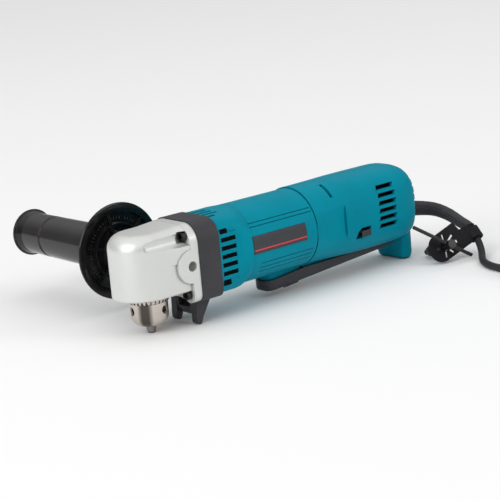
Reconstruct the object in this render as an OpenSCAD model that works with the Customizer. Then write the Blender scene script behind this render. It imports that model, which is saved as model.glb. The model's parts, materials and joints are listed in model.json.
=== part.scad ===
// Right angle drill: a keyed chuck under a cast gear head, a round motor housing behind it,
// a paddle switch below, a side handle and a mains lead.
// X runs from the spindle to the rear, Y towards the side handle, Z up from the standing surface.

/* [Stand] */
// Height of the motor axis above the surface that the drill stands on
axis_h = 51; // [50:0.5:53]

/* [Gear head] */
// Radius of the rounded front of the gear housing
head_r = 25; // [24.5:0.25:26]
// How far the centre of the rounded front lies ahead of the spindle
head_lead = 3.5; // [3:0.25:4]
// Height of the head's top above the motor axis
head_top = 30.5; // [30:0.25:31.5]
// Depth of the skirt's lower edge below the motor axis
skirt_z = 20; // [19.5:0.25:20.5]
// Half width of the flange that the head is screwed by
flange_w = 28; // [27.5:0.25:28.5]
// Front and rear faces of the black collar behind the flange
collar_x0 = 32; // [31.5:0.25:32.5]
collar_x1 = 52.5; // [52:0.25:53]
// Radius of the thread for the side handle
handle_hole_r = 4; // [3.5:0.25:4.5]
// Distance of the side handle's axis behind the spindle
handle_x = 25; // [24.5:0.25:25.5]

/* [Gears] */
// Teeth of the armature pinion
pinion_n = 7; // [7:1:7]
// Teeth of the reduction gear on the layshaft
reduction_n = 30; // [30:1:30]
// Module of the first stage
spur_m = 0.8; // [0.78:0.01:0.8]
// Teeth of the bevel pinion on the layshaft
bevel_pinion_n = 11; // [11:1:11]
// Teeth of the bevel gear on the spindle
bevel_gear_n = 30; // [30:1:30]
// Module of the bevel stage at its large end
bevel_m = 1.3; // [1.28:0.01:1.3]

/* [Chuck] */
// Radius of the chuck body
chuck_r = 14.9; // [14.8:0.05:15]
// Radius of the toothed sleeve
sleeve_r = 17.2; // [17:0.1:17.4]
// Lean of each jaw from the spindle axis, in degrees
jaw_lean = 16; // [15.5:0.25:16]
// Radius of a jaw
jaw_r = 2.9; // [2.8:0.05:2.9]
// Teeth on the sleeve
sleeve_teeth = 30; // [24:2:36]

/* [Motor housing] */
// Radius of the round barrel
barrel_r = 33; // [32.5:0.25:33.5]
// Height of the motor axis above the handle's axis
motor_z = 1; // [0.5:0.25:1.5]
// Seam between the motor housing and the rear housing
seam_x = 152.5; // [151:0.5:154]
// Outer radius of the field core, which fills the barrel's bore
field_r = 29; // [28.5:0.25:29.5]

/* [Rear housing] */
// Rear end of the housing
rear_x = 276.5; // [276:0.5:277]
// Wall thickness
wall = 2.8; // [2.5:0.1:3.2]
// Half width of the foot
foot_w = 17.5; // [16:0.5:19]
// Front face of the foot
foot_x = 265; // [264.5:0.5:265.5]
// Rear face of the foot
foot_x1 = 278; // [277.5:0.5:280]

/* [Paddle] */
// Half width of the paddle
paddle_w = 10.8; // [10.6:0.1:11]
// Place of the paddle's hinge pin behind the spindle
paddle_pin_x = 257; // [256.5:0.25:257.5]
// Depth of the hinge pin below the handle's axis
paddle_pin_z = 28; // [27.8:0.1:28.2]

/* [Side handle] */
// Radius of the hand guard disc
guard_r = 40; // [38:0.5:42]
// Plane of the disc's rim
guard_y = 69; // [67:0.5:71]
// Radius of the grip
grip_r = 17.8; // [17:0.1:18.5]
// Radius of the flared end
end_r = 20.4; // [19.5:0.1:21]
// Far end of the handle
handle_end = 202; // [195:1:205]

/* [Mains lead] */
// Diameter of the lead
cord_d = 6.2; // [6:0.1:6.3]
// Turns of the stored coil
coil_turns = 10.25; // [10.25:1:10.25]
// Radius at the middle of the coil's turns
coil_r = 34; // [33.5:0.25:34.5]
// Distance between neighbouring turns
coil_step = 6.9; // [6.8:0.05:7]

/* [Hidden] */
$fn = 64;
// Step by which one form is tucked into the next, so that their edges don't coincide
tuck = 0.08;
floor_z = -axis_h;
teal = "#0a8496";
silver = "#d6d4cc";
charcoal = "#3c3a3f";
black = "#17171a";
steel = "#b9b6b0";
copper = "#b87333";

// Axes of the gear train
lay_z = motor_z + spur_m * (pinion_n + reduction_n) / 2;
bevel_gear_r = bevel_m * bevel_gear_n / 2;
bevel_pinion_r = bevel_m * bevel_pinion_n / 2;
bevel_face = 6.5;
bevel_cone = norm([bevel_gear_r, bevel_pinion_r]);
bevel_scale = 1 - bevel_face / bevel_cone;

// Screws that hold the head, the collar and the motor housing together
screw_y = 21.2;
screw_top = 23.5;
screw_low = -23.5;
screw_r = 2;
lobe_r = 6.8;
corner_r = 15;
flange_top = 32;
boss_r = 13.5;

// Chuck levels below the motor axis
chuck_top = -8.5;
nose_top = -38;
nose_z = -43.5;
nose_r = 8.6;
nut_top = -19;
nut_low = -25;
nut_r = 15.2;
jaw_len = 27;
key_hole_r = 2.75;
key_hole_z = -31.5;
key_hole_turn = 168;

// Lock lever under the paddle, and the switch's button above it
lock_x = 153;
lock_z = -38.6;
lock_w = 5.8;
lock_room = -32.2;
button_x = 190;
paddle_wall = 1.8;
paddle_turn = 1.9;
nose_x = 123;
// Keel of the housing, inside the paddle
keel_w = paddle_w - paddle_wall - 1.4;
keel_end = 262;

// Route of the lead's guard, then of the lead from the guard's end to the coil, from the floor up
guard_route = [
    [277, 0, 40.5], [288, 0, 39.9], [297.4, -3, 38.6], [306.8, -9, 37.2], [312.4, -16.5, 35.2],
    [316.3, -26.5, 31.1], [316.3, -39.5, 26], [314.3, -52, 22.8]
];
cord_route = [
    [314.3, -52, 22.8], [313.6, -58.5, 16.5], [310.8, -65.5, 10], [305, -72.5, 5.4], [297, -80, 3.4],
    [288.5, -89, 3.2], [282, -101, 3.2], [279, -117, 3.2], [278.5, -135, 3.5], [279, -152, 4]
];
coil_at = [322, -152];
coil_layers = 4;
coil_rise = 6.9;
coil_sweep = coil_turns / coil_layers * coil_step;
coil_out = coil_r + coil_sweep / 2;
coil_loop_rings = 24;
coil_low = 4;
coil_high = coil_low + (coil_layers - 1) * coil_rise;
tail_y = coil_at[1] - coil_out;
tail_route = [
    [322, tail_y, coil_high], [337, tail_y, coil_high - 1.5], [353, tail_y, 17],
    [369, tail_y, 11.5], [385, tail_y, 10], [401, tail_y, 10]
];
plug_x = 401;
plug_h = 20;

// Chuck key and its holder, on the lead
key_hub = [278, -60.9, 16.6];
key_axis = unit([0.194, 0.92, -0.339]);
bar_axis = [0.773, -0.356, -0.524];
holder_at = 9;
bar_ends = [-38, 23];

// Points of an arc, both ends included
function arc(c, r, a0, a1, n = 8) =
    [for (i = [0:n]) let (a = a0 + (a1 - a0) * i / n) c + r * [cos(a), sin(a)]];
// Step from 0 to 1 with soft ends
function smooth(t) = let (u = max(0, min(1, t))) u * u * (3 - 2 * u);
function mix(a, b, t) = a + (b - a) * t;
function unit(v) = v / norm(v);
function rest(list) = [for (i = [1:len(list) - 1]) list[i]];
function flip(pts) = [for (i = [len(pts) - 1:-1:0]) [-pts[i][0], pts[i][1]]];
// Height of a straight edge from point a to point b at x
function edge_z(a, b, x) = mix(a[1], b[1], (x - a[0]) / (b[0] - a[0]));

module on_axis() translate([0, 0, axis_h]) children();
module on_motor() translate([0, 0, axis_h + motor_z]) children();
module on_layshaft() translate([0, 0, axis_h + lay_z]) children();
// A flat outline in Y and Z, drawn out along X
module along_x(x0, x1) translate([x0, 0, 0]) rotate([90, 0, 90]) linear_extrude(x1 - x0) children();
// A flat outline in X and Z, drawn out along Y
module along_y(y0, y1) translate([0, y1, 0]) rotate([90, 0, 0]) linear_extrude(y1 - y0) children();
module rod_x(x0, x1, r) translate([x0, 0, 0]) rotate([0, 90, 0]) cylinder(h = x1 - x0, r = r);
module rod_y(y0, y1, r) translate([0, y0, 0]) rotate([-90, 0, 0]) cylinder(h = y1 - y0, r = r);
module ring_x(x0, x1, r_out, r_in) difference() {
    rod_x(x0, x1, r_out);
    rod_x(x0 - 1, x1 + 1, r_in);
}
module both_sides() {
    children();
    mirror([0, 1, 0]) children();
}
// Brings +Z to the given direction
module aim(v) rotate([0, acos(v[2] / norm(v)), atan2(v[1], v[0])]) children();

// Skin over rings of points with the same count, closed at both ends
module skin(rings) {
    n = len(rings[0]);
    m = len(rings);
    polyhedron(
        points = [for (r = rings) each r],
        faces = concat(
            [[for (i = [n - 1:-1:0]) i]],
            [for (j = [0:m - 2], i = [0:n - 1], half = [0, 1])
                let (a = j * n + i, b = j * n + (i + 1) % n)
                half == 0 ? [a, b, a + n] : [b, b + n, a + n]],
            [[for (i = [0:n - 1]) (m - 1) * n + i]]
        )
    );
}
// Section across X: half width, heights up and down, and squareness from 2 (round) upwards
function section(x, half_w, up, down, square, n = 40, mid = 0) =
    [for (i = [0:n - 1]) let (a = -360 * i / n, c = cos(a), s = sin(a))
        [x, half_w * sign(c) * pow(abs(c), 2 / square),
            mid + (s > 0 ? up : down) * sign(s) * pow(abs(s), 2 / square)]];

// Rings of a round tube along part of a line, with the radius at both ends
function tangent(p, i) = unit(p[min(i + 1, len(p) - 1)] - p[max(i - 1, 0)]);
function tube_rings(p, first, last, r0, r1, sides) =
    [for (i = [first:last])
        let (t = tangent(p, i), u = unit(cross(t, [0, 0, 1])), v = cross(u, t),
             r = mix(r0, r1, (i - first) / (last - first)))
        [for (k = [0:sides - 1]) let (a = 360 * k / sides) p[i] + r * (cos(a) * u + sin(a) * v)]];
// A smooth curve through the route's points
function curve_point(a, b, c, d, t) =
    0.5 * (2 * b + (c - a) * t + (2 * a - 5 * b + 4 * c - d) * t * t + (3 * b - a - 3 * c + d) * t * t * t);
function smooth_route(p, steps) = concat(
    [for (i = [0:len(p) - 2], k = [0:steps - 1])
        curve_point(p[max(i - 1, 0)], p[i], p[i + 1], p[min(i + 2, len(p) - 1)], k / steps)],
    [p[len(p) - 1]]);

// Gear outline with a tooth on the X axis: pitch radius, teeth, addendum, dedendum, tooth width in pitches,
// and how far a flank leans for each millimetre of height
module gear_outline(r, n, add, ded, width, flank = 0.36) {
    pitch = 360 / n;
    lean = flank * add / r * 180 / PI;
    foot = flank * ded / r * 180 / PI;
    half = width * pitch / 2;
    polygon([for (i = [0:n - 1], k = [0:3])
        let (a = i * pitch + [-half - foot, -half + lean, half - lean, half + foot][k],
             q = [r - ded, r + add, r + add, r - ded][k])
        q * [cos(a), sin(a)]]);
}

// Gear head

// Half outline of the head across its straight sides
function head_half(grow = 0) = concat(
    [[head_r + grow - 1, -skirt_z], [head_r + grow, -skirt_z + 1]],
    arc([head_r - 12, head_top - 12], 12 + grow, 0, 90, 8));
module head_section() polygon(concat(head_half(), flip(head_half())));
module head_revolved() {
    rotate_extrude() polygon(concat([[0, -skirt_z]], head_half(), [[0, head_top]]));
}
// Outline of the flange and the collar
module flange_outline(grow = 0) {
    side = flange_w + grow;
    top = flange_top + grow;
    upper = arc([side - corner_r, top - corner_r], corner_r, 0, 90, 10);
    polygon(concat([[side, screw_low]], upper, flip(upper), [[-side, screw_low], [-18, -27], [18, -27]]));
    for (s = [-1, 1]) translate([s * screw_y, screw_low]) circle(r = lobe_r + grow);
}
module upper_half() intersection() {
    children();
    translate([-40, 4]) square([80, 40]);
}
module head_screw_places() {
    for (s = [-1, 1], z = [screw_top, screw_low]) translate([0, s * screw_y, z]) children();
}
module gear_housing() color(silver) on_axis() difference() {
    union() {
        translate([-head_lead, 0, 0]) head_revolved();
        along_x(-head_lead, collar_x0) head_section();
        along_x(24.5, collar_x0) flange_outline();
        // Crown that rises from the head to the flange
        hull() {
            along_x(6, 6.5) upper_half() head_section();
            along_x(27, 27.5) upper_half() flange_outline();
        }
        // Bosses for the side handle, on both sides
        intersection() {
            both_sides() translate([handle_x, 0, 0]) rod_y(20, flange_w, boss_r);
            translate([0, -40, -40]) cube([collar_x0, 80, 80]);
        }
    }
    // Troughs that lead a key to the upper screws
    both_sides() translate([0, 26.3, 22.8]) {
        rod_x(-12, 24.5, 6);
        translate([-12, 0, 0]) sphere(r = 6);
    }
    both_sides() translate([0, screw_y, screw_top]) rod_x(16.5, 24.5, 4.6);
    // Room for the lower screws' heads
    both_sides() translate([0, screw_y, screw_low]) rod_x(-40, 24.5, 4.4);
    head_screw_places() rod_x(20, 40, screw_r + 0.15);
    both_sides() translate([handle_x, 0, 0]) rod_y(16, 40, handle_hole_r);
    // Skirt around the chuck
    translate([0, 0, -skirt_z - 1]) cylinder(h = skirt_z - 7, r = sleeve_r + 1.6);
    // Seats of the spindle's bearings and the room for the bevel gear
    translate([0, 0, -8.5]) cylinder(h = 12, r = 13);
    translate([0, 0, 3.5]) cylinder(h = 11, r = bevel_gear_r + 1.9);
    translate([0, 0, 21.4]) cylinder(h = 6.6, r = 8);
    // Room for the layshaft, its bearing and the bevel pinion
    translate([0, 0, lay_z]) rod_x(0, 20, bevel_pinion_r + 1.9);
    translate([0, 0, 12]) cylinder(h = 9.5, r = 8);
    translate([0, 0, lay_z]) rod_x(19, 33, 9.5);
}
module spindle_bearing_upper() color(steel) on_axis() difference() {
    translate([0, 0, 21.5]) cylinder(h = 6.4, r = 8);
    translate([0, 0, 20]) cylinder(h = 9, r = 4.05);
}
module spindle_bearing_lower() color(steel) on_axis() difference() {
    translate([0, 0, -5]) cylinder(h = 8, r = 13);
    translate([0, 0, -6]) cylinder(h = 10, r = 6.05);
}
module layshaft_bearing_front() color(steel) on_layshaft() ring_x(21, 29, 9.5, 4.05);
module layshaft_bearing_rear() color(steel) on_layshaft() ring_x(collar_x1, 57, 5, 3.05);
module head_screws() color(black) on_axis() head_screw_places() {
    difference() {
        rod_x(20.5, 24.5, 3.6);
        translate([22, 0, 0]) rotate([0, -90, 0]) cylinder(h = 4, r = 2, $fn = 6);
    }
    rod_x(24.5, 66, screw_r);
}

// Collar with the lamp between its two legs
module leg_side() polygon([
    [34, -24], [collar_x1 - 1.5, -24], [collar_x1 - 3, -30], [39.4, -45.5], [38.2, -49], [36.8, floor_z],
    [34.6, floor_z], [33.4, -49.5], [33.2, -46], [33.6, -40]
]);
module front_collar() color(charcoal) on_axis() difference() {
    union() {
        along_x(collar_x0, collar_x1) flange_outline(0.8);
        for (s = [-1, 1]) translate([0, s * 13, 0]) along_y(-3.5, 3.5) leg_side();
        along_y(-10, 10) polygon([[33, -24], [49, -24], [48, -33], [41, -44], [35.4, -44], [34.2, -38]]);
    }
    // Notch beside the far leg
    translate([30, 5.4, -50]) cube([20, 1.8, 9]);
    translate([0, 0, lay_z]) rod_x(31, 53, spur_m * reduction_n / 2 + 2.2);
    translate([0, 0, motor_z]) rod_x(31, 53, 9);
    head_screw_places() rod_x(31, 53, screw_r + 0.15);
    // Seat of the lamp
    along_y(-7, 7) polygon([[28, -28], [42, -28], [42, -34], [37, -38], [28, -38]]);
}
module lamp_lens() color("#e8eef0", 0.6) on_axis()
    along_y(-6.8, 6.8) polygon([[34.6, -28.4], [37.6, -28.4], [37.6, -34.4], [36.2, -33.8]]);
module lamp_board() color("#e6e0c0") on_axis() {
    along_y(-6.8, 6.8) polygon([[37.6, -28.1], [41.9, -28.1], [41.9, -33.9], [37.6, -33.9]]);
}

// Motor housing

// Share of the round barrel at x: 0 in the square front part, 1 from the barrel on
function barrel_share(x) = smooth((x - 69) / 16);
function motor_section(x) = let (t = barrel_share(x))
    section(x, mix(flange_w + 0.4, barrel_r - tuck, t), mix(flange_top - motor_z, barrel_r - tuck, t),
        mix(31.5 + motor_z, barrel_r - tuck, t), mix(4.2, 2, t), 72);
// Outline in plan of what lies along the underside, with a round nose
module nose_plan(half_w, x1) {
    translate([nose_x, 0]) circle(r = half_w);
    translate([nose_x, -half_w]) square([x1 - nose_x, 2 * half_w]);
}
// Keel under the housing, which the paddle closes on
function keel_low(x) = -38 + (x - 115) * 0.045;
module keel() difference() {
    intersection() {
        translate([0, 0, -60]) linear_extrude(50) nose_plan(keel_w, keel_end);
        along_y(-20, 20) polygon([
            [100, -12], [keel_end, -12], [keel_end, keel_low(keel_end)], [100, keel_low(100)]
        ]);
    }
    // Room for the lock lever and its pin when the paddle is pressed
    translate([lock_x - 20, -lock_w - 0.6, -60]) cube([24, 2 * lock_w + 1.2, 60 + lock_room]);
    translate([lock_x - 2, -20, -60]) cube([4, 40, 60 + lock_room]);
}
// Room beside the keel for the paddle's edge when it is pressed
function groove_top(x) = paddle_high(x) + (paddle_pin_x - x) * sin(paddle_turn) + 0.7;
module paddle_groove() difference() {
    intersection() {
        translate([0, 0, -60]) linear_extrude(60) nose_plan(paddle_w + 0.5, keel_end);
        along_y(-20, 20) polygon([
            [100, groove_top(100)], [paddle_bend, groove_top(paddle_bend)],
            [ear_x - 1, groove_top(ear_x - 1)], [ear_x - 1, ear_top + 0.8], [keel_end + 1, ear_top + 0.8], [keel_end + 1, -60], [100, -60]
        ]);
    }
    keel();
}
// Cooling slots of the front part: five whole ones with a short one above and below
vent_x0 = 54.5;
vent_len = 15;
vent_step = 6.8;
vent_w = 3.5;
module vent_rows() {
    for (i = [-3:3]) translate([vent_x0, 0, i * vent_step - 0.6]) {
        short = abs(i) == 3;
        along_x(0, short ? vent_len / 2 : vent_len) square([9, vent_w], center = true);
        // Blind end of a short slot
        if (short) translate([0, flange_w - 27, 0]) along_x(vent_len / 2 + 1.2, vent_len)
            square([1.6, vent_w], center = true);
    }
}
module motor_housing() color(teal) on_motor() difference() {
    union() {
        skin([for (x = [collar_x1, 69, 71.5, 74, 76.5, 79, 81.5, 84, 85]) motor_section(x)]);
        rod_x(85, seam_x, barrel_r);
        translate([0, 0, -motor_z]) intersection() {
            keel();
            translate([0, -20, -60]) cube([seam_x, 40, 60]);
        }
    }
    rod_x(collar_x1 - 1, 57, 24);
    rod_x(56, 84, 25.4);
    rod_x(83, 149, field_r);
    rod_x(148, seam_x + 1, 26);
    translate([0, 0, -motor_z]) head_screw_places() rod_x(50, 66, screw_r);
    both_sides() translate([0, 27, 0]) vent_rows();
    rotate([90, 0, 0]) for (i = [-2:2]) translate([vent_x0, 30, i * vent_step])
        along_x(0, abs(i) == 2 ? vent_len / 2 : vent_len) square([16, vent_w], center = true);
    translate([0, 0, -motor_z]) paddle_groove();
    ring_x(seam_x - 0.7, seam_x + 1, 45, barrel_r - 0.8);
    plate_form(2);
    // Long lines along the barrel's upper sides and fine steps low on them
    for (s = [-1, 1], a = [31, 37]) rotate([s * (90 - a), 0, 0])
        translate([84, -0.35, barrel_r - 0.5]) cube([66, 0.7, 2]);
    for (s = [-1, 1], a = [-24, -32, -40]) rotate([s * (90 - a), 0, 0])
        translate([92, -0.3, barrel_r - 0.4]) cube([56, 0.6, 2]);
}
module bearing_plate() color(charcoal) on_motor() difference() {
    rod_x(collar_x1, 57, 24);
    rod_x(50, 60, 8);
    translate([0, 0, lay_z - motor_z]) rod_x(50, 60, 5);
}
// Name plate on the near side, let into the barrel by a little, up to a height above it
plate_x0 = 83.4;
plate_x1 = 140;
module plate_form(height) intersection() {
    ring_x(plate_x0, plate_x1, barrel_r + height, barrel_r - 0.3);
    translate([plate_x0, -40, -4.4]) cube([plate_x1 - plate_x0, 20, 14.4]);
}
module name_plate() color(charcoal) on_motor() plate_form(0.4);
module field_core() color(steel) on_motor() difference() {
    ring_x(92, 130, field_r, 19.2);
    for (s = [-1, 1]) rotate([s * 90, 0, 0]) translate([91, -11, 15]) cube([40, 22, 9.5]);
}
module field_coils() color(copper) on_motor() {
    for (s = [-1, 1]) rotate([s * 90, 0, 0]) difference() {
        translate([86, -11, 19.6]) cube([50, 22, 4.9]);
        translate([92, -4, 15]) cube([38, 8, 12]);
    }
}
module armature_bearing_front() color(steel) on_motor() ring_x(collar_x1, 57, 8, 3.55);
module armature_bearing_rear() color(steel) on_motor() ring_x(153, 160, 9, 3.55);
module armature_shaft() color(steel) on_motor() {
    rod_x(48, 161.5, 3.5);
    along_x(36, 48) rotate(90) gear_outline(spur_m * pinion_n / 2, pinion_n, 0.72, 0.95, 0.4);
}
module armature_core() color(steel) on_motor() difference() {
    rod_x(92, 130, 18.6);
    rod_x(90, 132, 3.5);
    for (i = [0:11]) rotate([i * 30, 0, 0]) translate([91, -1, 16]) cube([40, 2, 4]);
}
module armature_winding() color(copper) on_motor() for (x = [[85, 92], [130, 136]])
    ring_x(x[0], x[1], 16, 3.5);
module commutator() color(copper) on_motor() difference() {
    ring_x(137, 149, 11, 3.5);
    for (i = [0:23]) rotate([i * 15, 0, 0]) translate([138, -0.25, 10]) cube([12, 0.5, 2]);
}
module fan() color("#d8d2c0") on_motor() {
    difference() {
        union() {
            rod_x(76, 78, 24.4);
            rod_x(66, 78, 7);
        }
        rod_x(60, 80, 3.5);
    }
    for (i = [0:12]) rotate([i * 360 / 13, 0, 0]) translate([66, 8, 0])
        along_x(0, 10.1) rotate(18) square([14.5, 1.3]);
}
// Brush gear on both sides of the commutator
module brush_holders() color("#c9a24a") on_motor() for (s = [-1, 1]) rotate([s * 90, 0, 0]) difference() {
    translate([138, -5, 13]) cube([10, 10, 15.4]);
    translate([139.5, -3.5, 12]) cube([7, 7, 18]);
}
module carbon_brushes() color("#303030") on_motor() for (s = [-1, 1]) rotate([s * 90, 0, 0])
    translate([139.6, -3.4, 11.35]) cube([6.8, 6.8, 8]);
module brush_springs() color(steel) on_motor() for (s = [-1, 1]) rotate([s * 90, 0, 0])
    translate([143, 0, 19.4]) cylinder(h = 8.6, r = 2.4);

// Rear housing, split along the middle

// Share of the full section that is left near the rounded rear end
function rear_round(x) = let (t = max(0, (x - 252) / (rear_x - 252))) pow(max(0, 1 - pow(t, 2.8)), 1 / 2.8);
// Underside of the rear housing, a little lower than the barrel's
function under_z(x) = -barrel_r + motor_z - 1.5 * smooth((x - 160) / 60);
function rear_section(x, inset = 0) =
    let (t = smooth((x - 160) / 60), e = rear_round(x))
    section(x, mix(barrel_r + 0.2, 30.5, t) * mix(0.64, 1, e) - inset,
        (barrel_r + 1) * mix(0.52, 1, e) - inset, (motor_z - under_z(x)) * mix(0.8, 1, e) - inset,
        mix(2.05, 2.7, t), 72, motor_z);
rear_steps = [seam_x, 165, 178, 192, 206, 222, 240, 252, 258, 263, 267, 270.5, 273.5, 275.5, rear_x];
module rear_skin(inset, last) skin(concat(
    [for (x = rear_steps) if (x < last - 1) rear_section(x - (x == seam_x ? inset : 0), inset)],
    [rear_section(last, inset)]));
module foot_form() hull() for (x = [foot_x + 5, foot_x1 - 5], s = [-1, 1])
    translate([x, s * (foot_w - 5), floor_z]) {
        translate([0, 0, 5]) cylinder(h = 36, r = 5, $fn = 32);
        translate([0, 0, 1.5]) cylinder(h = 3.5, r1 = 3.9, r2 = 5, $fn = 32);
        cylinder(h = 1.5, r1 = 2, r2 = 3.9, $fn = 32);
    }
// Screws that close the two halves, put in from the handle's side
rear_screw_places = [[168, 22], [212, 25], [271, -36]];
module at_rear_screws() for (p = rear_screw_places) translate([p[0], 0, p[1]]) children();
// Seat of the rear bearing, on four arms
module bearing_seat() translate([0, 0, motor_z]) {
    rod_x(seam_x, 161, 12);
    for (a = [45:90:315]) rotate([a, 0, 0]) translate([seam_x, -2.5, 0]) cube([6, 5, 31.5]);
}
module rear_hollow() difference() {
    intersection() {
        rear_skin(wall, rear_x - wall);
        translate([seam_x - 5, -27.2, -17]) cube([140, 54.4, 80]);
    }
    intersection() {
        union() {
            at_rear_screws() rod_y(-40, 40, 4.6);
            bearing_seat();
            // Rib behind the air slots
            translate([244, -1.2, -2]) cube([40, 2.4, 60]);
        }
        translate([seam_x, -40, -40]) cube([140, 80, 80]);
    }
}
module rear_shell() difference() {
    union() {
        rear_skin(0, rear_x);
        foot_form();
        intersection() {
            keel();
            translate([seam_x, -20, -60]) cube([200, 40, 60]);
        }
    }
    rear_hollow();
    paddle_groove();
    translate([0, 0, motor_z]) rod_x(seam_x - 1, 160, 9);
    translate([0, 0, motor_z]) rod_x(159, 163, 6);
    // Air slots of both sides
    both_sides() for (i = [0:5]) translate([0, 0, 22 - i * 6.6]) along_y(20, 40)
        polygon([[226, -2], [246, -2], [247.4, 1.8], [227.4, 1.8]]);
    // Shallow grips for the thumb, cut straight at the rear
    both_sides() intersection() {
        translate([187, 229.6, 6]) sphere(r = 200, $fn = 200);
        translate([150, 0, -30]) cube([37, 60, 70]);
    }
    // Narrow slit round the shoulder above the grip
    both_sides() translate([0, 0, motor_z]) intersection() {
        ring_x(175.6, 178.8, 40, 28);
        along_x(170, 180) polygon([[0, 0], 50 * [cos(42), sin(42)], 50 * [cos(70), sin(70)]]);
    }
    // Slot of the reversing lever, on the near side
    along_y(-40, -20) polygon([[198, -16.4], [200.5, -10.5], [204.5, -7.6], [215.6, -7.6], [216, -16.4]]);
    // Louvres across the rear face
    for (i = [-1:3]) translate([rear_x - 4.5, -40, i * 6.6 + 1]) cube([10, 80, 2.2]);
    // Outlet of the lead's guard
    translate([0, 0, guard_route[0][2] - axis_h]) rod_x(rear_x - 22, rear_x + 5, guard_root_r);
    translate([paddle_pin_x, 0, -paddle_pin_z]) rod_y(-keel_w - 1, keel_w + 1, 2);
    translate([button_x, 0, -44]) cylinder(h = 34, r = 3.4);
    at_rear_screws() {
        rod_y(-14, 30, 1.6);
        rod_y(14, 45, 3.5);
    }
}
module rear_half(s) color(teal) on_axis() intersection() {
    rear_shell();
    translate([seam_x - 1, s > 0 ? 0 : -60, -60]) cube([160, 60, 120]);
}
module rear_housing_left() rear_half(1);
module rear_housing_right() rear_half(-1);
module rear_screws() color(black) on_axis() at_rear_screws() {
    rod_y(-14, 14, 1.6);
    difference() {
        rod_y(14, 16.6, 3.4);
        rod_y(15.2, 18, 1.6, $fn = 6);
    }
}
module switch_body() color("#303236") on_axis() difference() {
    translate([178, -9, -17]) cube([34, 18, 23]);
    translate([button_x, 0, -20]) cylinder(h = 10, r = 3.4);
}
module switch_button() color("#c8c8c4") on_axis()
    translate([button_x, 0, paddle_low(button_x) + paddle_wall + 0.5]) {
        cylinder(h = -14 - paddle_low(button_x) - paddle_wall - 0.5, r = 3);
    }
module reverse_lever() color("#6c6a6c") on_axis() {
    translate([202.8, -33, -15.2]) cube([10.2, 2.1, 5.4]);
    translate([206.5, -31.5, -13.6]) cube([4, 21, 2.6]);
}
module cord_clamp() color(black) on_axis() difference() {
    translate([246, -11, -17]) cube([8, 22, 5]);
    for (s = [-1, 1]) translate([250, s * 8, -18]) cylinder(h = 8, r = 1.6);
}

// Paddle switch: a trough under the housing, hinged at the rear

// Lower and upper edge of the paddle at x, and its half width
function nose_rise(x) = let (t = max(0, (119 - x) / 7)) 4.5 * (1 - sqrt(max(0, 1 - t * t)));
function paddle_low(x) = -45.8 + (x - 118) * 0.064 + max(0, x - paddle_curl) * 0.06 + nose_rise(x);
function paddle_high(x) = min(-32.7, -32.7 + (x - paddle_bend) * 0.09);
function paddle_half(x) = sqrt(max(0, paddle_w * paddle_w - pow(max(0, nose_x - x), 2)));
paddle_x0 = nose_x - paddle_w;
paddle_x1 = 261;
// Where the upper edge becomes level, where the lower edge turns up, and the ears for the hinge pin
paddle_bend = 154.5;
paddle_curl = 245;
ear_x = 247;
ear_top = -25.2;
nose_steps = [for (a = [6, 14, 24, 36, 50, 68, 90]) nose_x - paddle_w * cos(a)];
function paddle_section(x, inset, rise) = let (low = paddle_low(x) + inset, high = paddle_high(x) + rise)
    section(x, max(0.5, paddle_half(x) * (1 - inset / paddle_w)), (high - low) / 2, (high - low) / 2, 6, 48,
        (high + low) / 2);
module paddle_form(inset, rise, last) skin([for (x = concat(nose_steps, [paddle_bend, paddle_curl, last]))
    let (back = max(0, nose_x - x) * inset / paddle_w)
    [for (v = paddle_section(x, inset, rise)) v + [back, 0, 0]]]);
module paddle_lever() color(charcoal) on_axis() difference() {
    paddle_form(0, 12, paddle_x1);
    paddle_form(paddle_wall, 20, paddle_x1 + 2);
    // Upper edge
    along_y(-40, 40) polygon([
        [paddle_x0 - 5, paddle_high(paddle_x0 - 5)], [paddle_bend, paddle_high(paddle_bend)],
        [ear_x, paddle_high(ear_x)], [ear_x + 3, ear_top], [paddle_x1 + 5, ear_top], [paddle_x1 + 5, 10],
        [paddle_x0 - 5, 10]
    ]);
    // The floor ends ahead of the hinge
    translate([244, paddle_wall - paddle_w, -60]) cube([40, 2 * (paddle_w - paddle_wall), 60]);
    // Opening of the lock lever
    translate([lock_x - 19, -lock_w - 0.5, -60]) cube([22, 2 * lock_w + 1, 40]);
    translate([paddle_pin_x, 0, -paddle_pin_z]) rod_y(0.7 - paddle_w, paddle_w - 0.7, 2.05);
    translate([lock_x, 0, lock_z]) rod_y(-paddle_w + 0.6, paddle_w - 0.6, 1.5);
}
module paddle_pin() color(steel) on_axis() translate([paddle_pin_x, 0, -paddle_pin_z])
    rod_y(0.9 - paddle_w, paddle_w - 0.9, 2);
module lock_pin() color(steel) on_axis() translate([lock_x, 0, lock_z])
    rod_y(-paddle_w + 0.6, paddle_w - 0.6, 1.5);
module lock_lever() color(black) on_axis() difference() {
    union() {
        translate([lock_x, 0, lock_z]) rod_y(-lock_w, lock_w, 2.4);
        along_y(-lock_w, lock_w) polygon([
            [lock_x + 0.5, lock_z - 2.2], [lock_x, lock_z + 1], [lock_x - 17.5, lock_z - 3.6],
            [lock_x - 18, lock_z - 8], [lock_x - 3, lock_z - 7]
        ]);
    }
    translate([lock_x, 0, lock_z]) rod_y(-20, 20, 1.55);
    // Ribs for the finger
    for (i = [0:4]) translate([lock_x - 16 + i * 3, 0, lock_z - 8.2 + i * 0.2]) rod_y(-20, 20, 0.9);
}

// Chuck

module chuck_revolved(pts) rotate_extrude() polygon(pts);
module each_jaw() for (i = [0:2]) rotate(key_hole_turn + 60 + 120 * i) children();
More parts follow.
